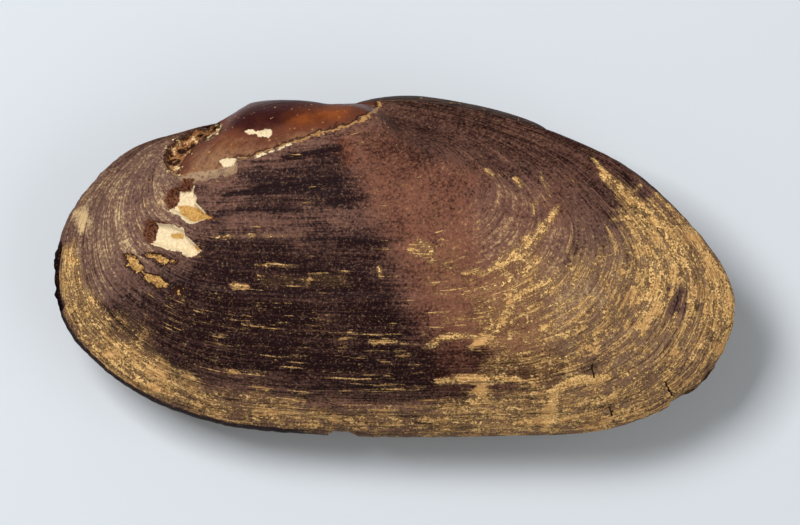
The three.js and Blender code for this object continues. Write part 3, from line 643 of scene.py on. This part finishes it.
# Outlines and lines follow the photograph's pixels. A furrow is a line, its half width, its depth and
# how dark it is, and a chip is a line, its half width and its bite.
LEFT_WEAR = {
    "beak": [
        plan((213, 126), (196, 130), (180, 141), (170, 155), (167, 167), (176, 176), (192, 183),
             (205, 180), (216, 178), (222, 173), (230, 175), (237, 172), (238, 159), (254, 157),
             (262, 153), (275, 150), (288, 144), (297, 143), (312, 137), (328, 132), (352, 126),
             (366, 118), (376, 111), (381, 105), (372, 39), (214, 39)),
    ],
    "groove": [
        plan((168, 170), (163, 159), (166, 148), (177, 138), (191, 129), (207, 124), (220, 123),
             (222, 127), (211, 132), (200, 138), (190, 147), (183, 156), (178, 165), (176, 173)),
    ],
    "pits": [
        plan((172, 188), (182, 187), (195, 184), (195, 193), (198, 198), (197, 203), (206, 212),
             (219, 220), (205, 220), (196, 224), (191, 224), (179, 216), (171, 211), (165, 201)),
        plan((147, 219), (158, 221), (172, 224), (187, 229), (188, 236), (196, 243), (204, 251),
             (195, 258), (189, 258), (183, 253), (171, 251), (151, 245), (144, 236)),
        plan((186, 176), (193, 177), (194, 184), (190, 191), (183, 192), (183, 185)),
    ],
    "scuffs": [
        plan((125, 255), (139, 259), (145, 269), (137, 273), (127, 264)),
        plan((144, 274), (160, 276), (169, 285), (160, 289), (147, 283)),
        plan((176, 288), (183, 289), (182, 296), (177, 295)),
        plan((143, 254), (160, 255), (178, 262), (176, 266), (158, 260)),
    ],
    "cracks": [((590.5, 362), (593.5, 378)), ((609, 406), (612, 416)), ((664, 381), (672, 396))],
    "furrows": [
        (((285, 159), (312, 153), (340, 149)), 0.9, 0.2, 0.3),
        (((226, 195), (258, 191), (291, 188), (328, 183), (339, 181)), 0.9, 0.2, 0.35),
        (((330, 204), (350, 201), (366, 198)), 0.7, 0.15, 0.25),
        (((220, 213), (262, 209), (300, 210)), 0.8, 0.1, 0.2),
        (((340, 240), (380, 243), (404, 240)), 0.7, 0.1, 0.2),
        (((193, 168), (217, 167), (238, 157)), 0.4, 0.22, 0.0),
    ],
    "chips": [
        (((54, 250), (54, 302)), 2.4, 0.8), (((336, 440), (343, 434), (350, 440)), 1.5, 1.1),
        (((675, 401), (684, 396), (692, 391)), 1.1, 0.85), (((706, 380), (712, 372)), 0.8, 0.5),
        (((558, 436), (564, 434)), 0.8, 0.4),
    ],
    "chalk": [
        ((257, 129.5), (262, 128.5), (266, 126.5), (271, 128), (273, 132), (269, 135.5), (263, 134),
         (258, 134)),
        ((245, 129.5), (249, 128), (255, 128.5), (257, 131), (251, 131.5), (247, 131)),
        ((219, 159), (226, 156), (236, 157), (233, 163), (224, 166)),
        ((254, 158), (262, 154.5), (275, 150.3), (276, 151.5), (263, 156.5), (255, 159.5)),
        ((278, 149.5), (288, 145), (298, 142.5), (298, 143.5), (288, 146.8), (279, 151)),
        ((179, 190), (188, 190), (195, 186), (194, 193), (198, 198), (197, 203), (205, 211), (208, 218),
         (196, 224), (191, 224), (180, 216), (171, 211), (175, 203), (177, 196)),
        ((157, 223), (171, 225), (185, 229), (187, 236), (195, 243), (203, 251), (194, 257), (189, 257),
         (183, 252), (170, 250), (152, 244), (155, 233)),
    ],
    "tan": [
        ((174, 203), (185, 203), (196, 206), (204, 212), (212, 218), (197, 222), (191, 221), (180, 214)),
        ((168, 233), (176, 232), (184, 234), (182, 239), (171, 239)),
        ((195, 245), (202, 249), (200, 253), (194, 250)),
    ],
    "ripe": [
        # ripe 0 in the small hole by the beak: its walls are drawn near black as painted shade
        (((185, 175), (195, 176), (195, 186), (186, 188)), 0.3, 0.0),
        (((325, 100), (378, 92), (380, 112), (350, 124), (325, 122)), 1.2, 0.35),
        (((205, 175), (190, 150), (220, 125), (268, 133), (300, 130), (360, 118), (340, 140),
          (260, 160)), 1.6, 0.62),
        (((184, 172), (190, 158), (214, 146), (250, 150), (238, 157), (214, 166)), 1.0, 0.75),
        (((172, 176), (190, 170), (217, 167), (238, 157), (242, 176), (200, 190)), 0.35, 1.3),
        (((223, 128), (240, 108), (285, 88), (330, 92), (332, 104), (325, 122), (290, 124),
          (240, 130)), 1.4, 0.1),
    ],
    "amber": [
        (((284, 118), (296, 110), (326, 107), (352, 108), (344, 118), (306, 126), (288, 126)), 1.8, 0.55),
        (((294, 119), (304, 114), (314, 116), (312, 122), (302, 124)), 0.9, 0.9),
        (((318, 112), (334, 108), (348, 110), (342, 117), (324, 119)), 0.9, 1.0),
        (((214, 132), (232, 128), (246, 138), (230, 152), (212, 150)), 1.6, 0.25),
    ],
    "soil": [
        (((560, 250), (640, 215), (700, 250), (745, 300), (720, 400), (560, 450), (480, 352),
          (460, 290)), 5.0, 0.52),
        (((648, 215), (660, 200), (745, 300), (720, 390), (640, 376), (676, 330), (680, 270)), 3.0, 0.6),
        (((700, 240), (745, 300), (730, 360), (712, 380), (712, 320)), 2.0, 0.72),
        (((500, 396), (540, 390), (640, 376), (720, 360), (700, 440), (500, 450)), 2.0, 0.55),
        (((520, 384), (620, 372), (640, 400), (600, 424), (520, 430)), 1.5, 0.51),
        (((400, 235), (470, 230), (480, 340), (430, 330)), 4.0, 0.42, 0.9),
        (((56, 244), (80, 244), (90, 280), (112, 312), (162, 330), (160, 388), (125, 384), (80, 350),
          (58, 300)), 2.0, 0.62),
        (((80, 370), (200, 384), (300, 400), (450, 396), (560, 385), (560, 452), (200, 450)), 2.5, 0.48),
        (((460, 400), (560, 392), (560, 440), (460, 440)), 2.0, 0.58),
        (((190, 384), (300, 392), (330, 440), (190, 440)), 3.0, 0.52),
        (((110, 344), (150, 352), (205, 372), (205, 400), (150, 392), (114, 370)), 1.8, 0.68),
        (((130, 290), (430, 290), (430, 400), (200, 385), (130, 330)), 3.0, 0.32, 0.9),
        (((200, 190), (340, 150), (400, 270), (420, 320), (300, 300), (180, 285)), 3.0, 0.1),
        (((400, 90), (560, 110), (640, 190), (560, 190), (430, 160)), 2.5, 0.14),
        (((616, 200), (652, 200), (690, 246), (684, 286), (656, 330), (626, 300),
          (640, 260)), 2.5, 0.74, 0.85),
        (((57, 246), (74, 250), (86, 296), (74, 312), (57, 296)), 1.8, 0.7, 0.9),
        (((440, 404), (520, 392), (640, 384), (660, 420), (520, 432), (440, 430)), 2.2, 0.62, 0.9),
        (((256, 272), (350, 270), (354, 290), (258, 290)), 1.5, 0.47, 0.9),
        (((472, 296), (500, 262), (534, 244), (548, 262), (520, 300), (486, 328)), 2.0, 0.58, 0.85),
        (((478, 360), (504, 358), (506, 380), (478, 382)), 1.2, 0.56, 0.8),
        (((568, 310), (598, 302), (612, 336), (580, 344)), 1.5, 0.6, 0.8),
        (((108, 314), (156, 326), (150, 344), (112, 334)), 1.5, 0.44, 0.9),
        (((664, 288), (684, 288), (684, 312), (666, 312)), 1.0, 0.2),
    ],
    "streaks": [
        (((465, 273), (486, 272), (511, 260), (531, 240), (546, 224), (557, 206)), 1.0, 0.74),
        (((490, 270), (512, 258), (534, 238), (548, 220)), 2.0, 0.72),
        (((500, 256), (518, 246), (532, 232)), 1.2, 0.6), (((379, 267), (381, 277)), 0.5, 0.8),
        (((532, 214), (536, 200)), 0.5, 0.64),
        (((469, 347), (490, 336), (504, 318), (510, 300), (530, 289), (548, 281)), 0.7, 0.78),
        (((474, 340), (488, 328), (497, 312), (506, 301)), 0.6, 0.62),
        (((436, 339), (456, 335), (474, 336)), 0.7, 0.74), (((424, 346), (440, 341)), 0.8, 0.62),
        (((608, 377), (572, 380), (555, 387)), 1.1, 1.0),
        (((566, 380), (554, 392), (552, 408), (546, 428)), 1.2, 1.0),
        (((472, 404), (480, 396), (484, 382)), 1.7, 0.84),
        (((436, 381), (480, 377), (522, 379)), 0.8, 0.84),
        (((592, 159), (612, 181), (632, 201), (652, 216), (666, 234), (671, 251)), 0.7, 0.8),
        (((602, 176), (622, 190), (644, 214)), 1.8, 0.74), (((630, 201), (640, 184)), 0.8, 0.62),
        (((610, 221), (628, 216), (646, 219)), 1.0, 0.62),
        (((671, 251), (676, 270), (672, 292), (664, 306)), 0.9, 0.8),
        (((664, 290), (652, 310), (640, 328)), 1.4, 0.8),
        (((655, 193), (690, 232), (716, 268), (733, 300), (738, 322)), 1.3, 0.72),
        (((485, 172), (492, 176)), 0.6, 0.68), (((514, 178), (521, 187)), 0.6, 0.68),
        (((539, 172), (549, 198)), 0.6, 0.57), (((410, 250), (422, 246), (434, 258)), 2.0, 0.57),
        (((560, 268), (600, 262), (628, 280)), 1.6, 0.56),
        (((520, 300), (560, 286), (596, 300), (622, 316)), 1.3, 0.59),
        (((520, 352), (550, 345), (568, 330), (582, 308)), 1.1, 0.59),
        (((592, 330), (596, 352)), 0.9, 0.66), (((500, 340), (530, 330), (560, 326)), 1.2, 0.54),
        (((560, 419), (600, 417), (644, 413)), 1.0, 0.62),
        (((300, 412), (360, 420), (440, 418)), 1.2, 0.59), (((232, 285), (250, 287)), 0.8, 0.62),
        (((206, 237), (300, 236)), 0.6, 0.47), (((256, 265), (300, 266)), 0.5, 0.5),
    ],
    "light": [
        (((50, 270), (64, 200), (105, 148), (165, 125), (190, 165), (165, 200), (150, 235), (160, 262),
          (130, 290), (70, 300)), 3.0, 0.5),
        (((78, 196), (118, 184), (140, 210), (136, 250), (92, 252)), 2.5, 0.58, 0.8),
        (((76, 212), (86, 210), (91, 220), (85, 236), (79, 230)), 1.0, 0.95),
        (((352, 150), (380, 125), (430, 112), (560, 160), (560, 210), (520, 260), (440, 330), (405, 268),
          (372, 205)), 3.5, 0.37),
        (((352, 120), (380, 118), (440, 150), (410, 180), (366, 175)), 2.5, 0.26, 0.8),
        (((110, 285), (165, 262), (200, 290), (200, 380), (150, 350), (120, 320)), 3.0, 0.24),
        (((330, 150), (360, 160), (384, 205), (408, 262), (430, 330), (480, 350), (400, 350),
          (330, 300)), 4.5, 0.2, 0.7),
        (((200, 190), (225, 172), (341, 146), (350, 160), (352, 205), (372, 262), (402, 330), (470, 352),
          (560, 366), (566, 390), (430, 402), (300, 395), (200, 372), (150, 340), (150, 300), (185, 262),
          (205, 235)), 4.0, 0.08),
        (((230, 208), (330, 204), (372, 215), (376, 230), (300, 236), (215, 240)), 2.0, 0.28, 0.9),
        (((200, 262), (380, 262), (410, 330), (380, 380), (220, 350)), 2.5, 0.06, 0.8),
        (((200, 186), (238, 174), (256, 188), (236, 215), (206, 222)), 1.8, 0.32),
        (((380, 110), (430, 105), (470, 130), (420, 165), (380, 170)), 3.0, 0.2, 0.9),
        (((400, 90), (560, 108), (640, 170), (660, 230), (600, 225), (540, 165), (430, 158),
          (395, 170)), 3.0, 0.22, 0.95),
        (((466, 204), (506, 178), (544, 190), (543, 240), (480, 270)), 3.0, 0.52, 0.9),
        (((468, 138), (530, 138), (568, 180), (520, 182), (474, 166)), 1.8, 0.22, 0.9),
        (((148, 196), (166, 196), (172, 214), (188, 226), (150, 218)), 1.0, 0.66, 0.8),
        (((530, 262), (600, 232), (680, 255), (740, 290), (720, 400), (600, 352), (540, 340)), 3.0, 0.46),
        (((540, 280), (590, 272), (600, 300), (560, 316)), 2.0, 0.66, 0.9),
        (((630, 240), (668, 245), (670, 280), (640, 270)), 2.0, 0.66, 0.9),
        (((664, 288), (684, 288), (684, 312), (666, 312)), 1.0, 0.26),
        (((80, 378), (200, 398), (300, 408), (450, 408), (540, 400), (540, 450),
          (80, 450)), 2.0, 0.26, 0.9),
        (((470, 400), (540, 396), (560, 440), (470, 440)), 2.0, 0.42, 0.9),
        (((530, 390), (620, 385), (720, 370), (700, 440), (530, 450)), 2.0, 0.42, 0.9),
        (((530, 384), (620, 374), (640, 400), (600, 420), (530, 424)), 1.5, 0.36, 0.9),
        (((440, 350), (600, 358), (600, 376), (440, 396)), 2.0, 0.24, 0.8),
        (((96, 302), (130, 298), (165, 340), (200, 372), (196, 384), (140, 350),
          (106, 328)), 1.8, 0.1, 0.9),
        (((56, 306), (84, 306), (110, 334), (200, 390), (300, 404), (300, 424), (190, 410), (120, 384),
          (70, 340)), 1.8, 0.24, 0.85),
    ],
    "red": [
        (((50, 270), (70, 190), (110, 145), (190, 130), (190, 290), (90, 330)), 3.0, 0.2),
        (((345, 135), (430, 118), (560, 160), (560, 210), (520, 260), (560, 380), (440, 390), (400, 268),
          (360, 190)), 4.0, 0.8),
        (((380, 110), (560, 108), (640, 170), (560, 190), (430, 160)), 3.0, 0.5),
        (((470, 190), (520, 160), (556, 175), (545, 240), (480, 270)), 2.5, 0.4, 0.9),
        (((560, 250), (640, 200), (735, 300), (700, 400), (560, 440)), 3.0, 0.22),
        (((336, 140), (352, 138), (356, 165), (344, 168)), 0.8, 1.0),
    ],
}

left_valve = piece("mussel_left_valve", valve_mesh("mussel_left_valve", LEFT_WEAR, 1))
left_valve.data.materials.append(skin_material("left_valve_skin"))
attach(left_valve, "root")
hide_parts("left_valve")

# Right valve. The half that lies underneath, the same shell mirrored, with wear of its own at
# the beak, one pit, and a small flat that is rubbed into its side where it lies on the ground.
RIGHT_WEAR = {
    "beak": [
        [(-33.0, 24.3), (-36.0, 22.6), (-37.8, 19.8), (-37.2, 16.6), (-34.6, 14.6), (-31.0, 14.9),
         (-26.9, 17.4), (-22.0, 18.2), (-17.3, 21.0), (-12.4, 22.7), (-8.8, 25.0), (-6.5, 27.3),
         (-7.0, 40.0), (-33.0, 40.0)],
    ],
    "groove": [],
    "pits": [[(-37.9, 12.3), (-34.8, 12.9), (-32.2, 10.6), (-33.7, 8.1), (-37.0, 8.8)]],
    "scuffs": [
        plan((236, 268), (246, 266), (250, 273), (240, 276)),
        plan((290, 300), (300, 296), (306, 303), (296, 307)),
    ],
    "cracks": [((612, 390), (616, 408))],
    "furrows": [(((300, 190), (340, 182), (372, 180)), 0.8, 0.2, 0.25)],
    "chips": [
        (((336, 440), (343, 434), (350, 440)), 1.7, 1.3), (((658, 414), (668, 405), (684, 400)), 1.7, 1.0),
        (((52, 254), (52, 275), (54, 300)), 1.5, -0.16),
    ],
    "chalk": [
        ((186, 196), (197, 193), (205, 204), (196, 214), (188, 210)),
        ((220, 150), (236, 145), (250, 152), (236, 160)), ((262, 160), (276, 156), (282, 162), (268, 167)),
    ],
    "tan": [((192, 208), (204, 204), (206, 212), (196, 217))],
    "ripe": [
        (((190, 175), (186, 150), (220, 130), (280, 140), (345, 118), (330, 140), (250, 170)), 2.0, 0.7),
        (((223, 128), (240, 108), (285, 92), (380, 92), (360, 112), (300, 120), (240, 130)), 1.6, 0.15),
    ],
    "amber": [(((270, 118), (300, 112), (320, 118), (300, 128), (276, 128)), 1.6, 0.9)],
    "soil": [
        (((540, 180), (640, 170), (745, 290), (720, 400), (560, 450), (520, 300)), 6.0, 0.45),
        (((50, 230), (90, 244), (120, 312), (200, 360), (160, 400), (70, 340)), 3.0, 0.55),
        (((80, 370), (200, 388), (300, 404), (450, 400), (600, 390), (720, 360), (700, 430), (560, 452),
          (200, 450)), 2.0, 0.55),
        (((250, 220), (420, 210), (520, 300), (400, 350), (280, 320)), 4.0, 0.3, 0.9),
        (((40, 236), (59, 240), (60, 312), (40, 316)), 0.6, 0.02),
    ],
    "streaks": [
        (((360, 300), (400, 280), (436, 250), (450, 222)), 1.4, 0.85),
        (((560, 330), (590, 300), (600, 270)), 1.0, 0.8), (((220, 340), (260, 352), (300, 356)), 0.8, 0.75),
    ],
    "light": [
        (((50, 270), (70, 190), (110, 145), (165, 125), (190, 170), (160, 250), (185, 300),
          (90, 330)), 4.0, 0.55),
        (((200, 190), (341, 150), (420, 260), (520, 360), (480, 400), (300, 390), (200, 320)), 4.0, 0.16),
        (((350, 130), (560, 160), (560, 240), (460, 330), (400, 240)), 4.0, 0.42),
        (((560, 250), (600, 200), (735, 300), (700, 400), (580, 380)), 4.0, 0.5),
        (((40, 236), (59, 240), (60, 312), (40, 316)), 0.6, 0.02),
    ],
    "red": [(((350, 130), (560, 160), (580, 260), (480, 370), (400, 260)), 4.0, 0.8)],
}

right_valve = piece("mussel_right_valve", valve_mesh("mussel_right_valve", RIGHT_WEAR, -1))
right_valve.data.materials.append(skin_material("right_valve_skin"))
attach(right_valve, "root")
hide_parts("right_valve")

# Hinge ligament. A dark horny spring that lies along the dorsal edge behind the beaks, grown
# into a seat in both valves. Its fibres run lengthwise and its ends are blunt.
band = bmesh.new()
bmesh.ops.create_grid(band, x_segments=150, y_segments=48, size=1.0)
for vert in band.verts:
    share, around = (vert.co.x + 1) / 2, math.pi * (vert.co.y + 1)
    share = 0.5 - 0.5 * math.cos(math.pi * share)
    x = LIGAMENT_FROM + (LIGAMENT_TO - LIGAMENT_FROM) * share
    girth = math.sqrt(max(0.0, 1 - abs(2 * share - 1) ** LIGAMENT_BLUNTNESS))
    fibre = 1 + 0.035 * noise.noise((x * 0.12, 5 * math.cos(around), 5 * math.sin(around)))
    fibre += 0.02 * noise.noise((x * 0.9, 3 * math.cos(around), 3 * math.sin(around)))
    up = girth * LIGAMENT_HALF_HEIGHT * math.cos(around) * fibre
    out = girth * LIGAMENT_HALF_WIDTH * math.sin(around) * fibre
    edge, slope = (float(value) for value in dorsal_edge(x))
    lean = math.atan(slope)
    lift = up - LIGAMENT_DEPTH
    vert.co = (REST @ Vector((x - lift * math.sin(lean), edge + lift * math.cos(lean), out))) * 0.001
ligament = piece("mussel_ligament", finished(band, "mussel_ligament"))

horn = bpy.data.materials.new("ligament_horn")
horn.use_nodes = True
n = Nodes(horn.node_tree)
shader = horn.node_tree.nodes["Principled BSDF"]
shader.inputs["Specular IOR Level"].default_value = 0.2
place = n.add("TexCoord", output="Object")
fibres = n.grain(n.add("VectorMath", {0: place, 1: (120, 2400, 2400)}, operation="MULTIPLY"), 1, 3)
dirt = n.grain(place, 900, 4, 0.6)
horn_colour = n.mix(n.step(fibres, 0.3, 0.7), colour(32, 21, 18), colour(74, 54, 45))
horn_colour = n.mix(n.step(dirt, 0.64, 0.72), horn_colour, colour(150, 112, 72))
horn.node_tree.links.new(horn_colour, shader.inputs["Base Color"])
horn.node_tree.links.new(n.step(dirt, 0.3, 0.7, 0.5, 0.7), shader.inputs["Roughness"])
horn.node_tree.links.new(n.add("Bump", {"Strength": 1.0, "Distance": 0.001, "Height": n.times(fibres, 0.1)}),
                         shader.inputs["Normal"])
ligament.data.materials.append(horn)
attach(ligament, "root")
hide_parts("hinge_ligament")

# Studio: a pale floor, one soft main light from the upper left, a weak fill, and a long lens
# square on to the plane where the valves meet.
ground = bmesh.new()
bmesh.ops.create_grid(ground, x_segments=1, y_segments=1, size=1.5)
ground_mesh = bpy.data.meshes.new("floor")
ground.to_mesh(ground_mesh)
ground.free()
floor = piece("floor", ground_mesh)
pale = bpy.data.materials.new("pale_floor")
pale.use_nodes = True
pale.node_tree.nodes["Principled BSDF"].inputs["Base Color"].default_value = colour(202, 208, 214)
pale.node_tree.nodes["Principled BSDF"].inputs["Roughness"].default_value = 0.9
floor.data.materials.append(pale)


def soft_light(name, place, size, power):
    """A square soft light at a place in metres that faces the shell."""
    lamp = bpy.data.lights.new(name, "AREA")
    lamp.shape = "SQUARE"
    lamp.size = size
    lamp.energy = power
    holder = bpy.data.objects.new(name, lamp)
    aim = (Vector((0, 0, 0.015)) - Vector(place)).to_track_quat("-Z", "Y")
    holder.matrix_world = Matrix.Translation(place) @ aim.to_matrix().to_4x4()
    bpy.context.scene.collection.objects.link(holder)


soft_light("main_light", (-0.42, 0.26, 0.86), 0.4, 9.6)
soft_light("fill_light", (0.7, -0.3, 0.8), 0.9, 3)
bpy.context.scene.view_settings.view_transform = "Standard"
world = bpy.data.worlds.new("studio")
world.use_nodes = True
world.node_tree.nodes["Background"].inputs["Color"].default_value = (1.0, 0.985, 0.96, 1.0)
world.node_tree.nodes["Background"].inputs["Strength"].default_value = 0.28
bpy.context.scene.world = world

DISTANCE, PHOTO_WIDTH, PHOTO_MIDDLE = 2.0, 800, (400, 262.5)
lens = bpy.data.cameras.new("camera")
lens.sensor_width = 36
lens.lens = 36 * DISTANCE / (PHOTO_WIDTH * PIXEL * 0.001)
camera = bpy.data.objects.new("camera", lens)
aim = REST @ Vector((*plan(PHOTO_MIDDLE)[0], 0))
turn = REST.to_3x3().to_4x4()
camera.matrix_world = Matrix.Translation(aim * 0.001) @ turn @ Matrix.Translation((0, 0, DISTANCE))
bpy.context.scene.collection.objects.link(camera)
bpy.context.scene.camera = camera
